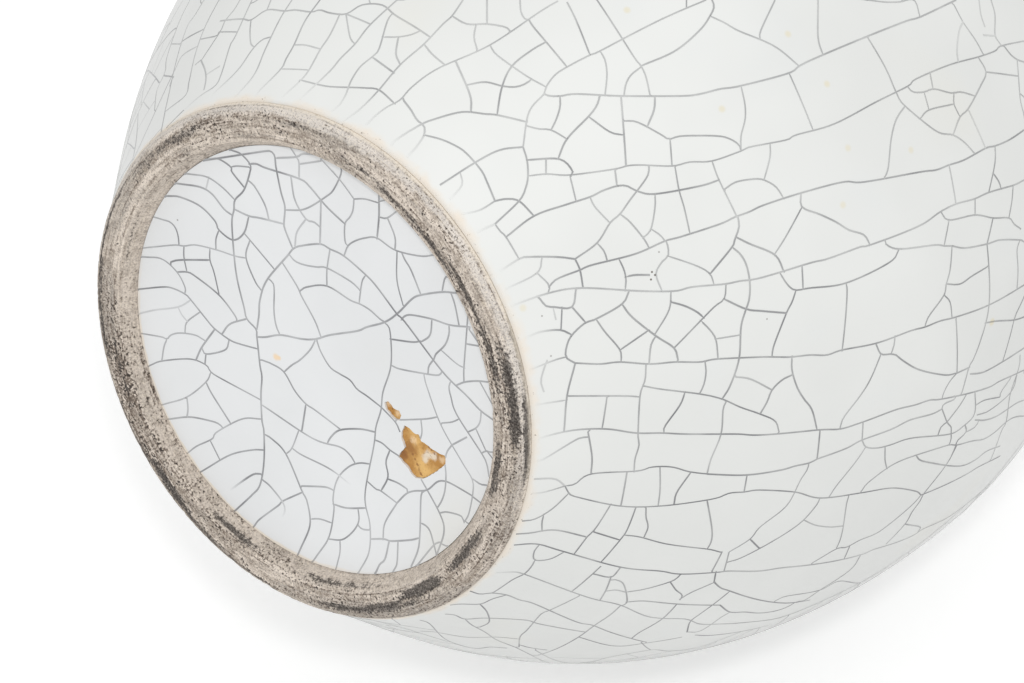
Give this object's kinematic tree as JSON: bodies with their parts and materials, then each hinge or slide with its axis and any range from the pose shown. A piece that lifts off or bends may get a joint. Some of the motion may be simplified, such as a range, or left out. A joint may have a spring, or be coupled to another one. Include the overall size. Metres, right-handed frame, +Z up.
{
  "type": "bottle vase",
  "caption": "Round-bodied bottle vase with a tall slim neck, flared lip and bare foot ring, coated in white glaze with a net of grey crackle lines.",
  "frame": {"origin": "middle of the foot ring's flat, on the surface that the vase stands on", "axes": "+Z up along the vase's axis, from the foot to the mouth; the glaze chips on the base lie towards +X and -Y"},
  "size_m": [0.2116, 0.2116, 0.3507],
  "materials": {
    "white_glaze": "glossy white glaze with grey crackle lines",
    "base_glaze": "glossy cool white glaze with grey crackle lines",
    "bare_clay": "matte buff stoneware with turned lines and dark dirt",
    "body_clay": "matte ochre fired clay"
  },
  "bodies": {
    "root": {"foot_ring": "bare_clay", "base_slab": "body_clay", "lower_bowl": "body_clay", "lower_belly": "body_clay", "upper_belly": "body_clay", "shoulder": "body_clay", "neck_tube": "body_clay", "mouth_ring": "body_clay", "glaze_outside": "white_glaze", "glaze_inside": "white_glaze", "glaze_base": "base_glaze"}
  },
  "joints": []
}
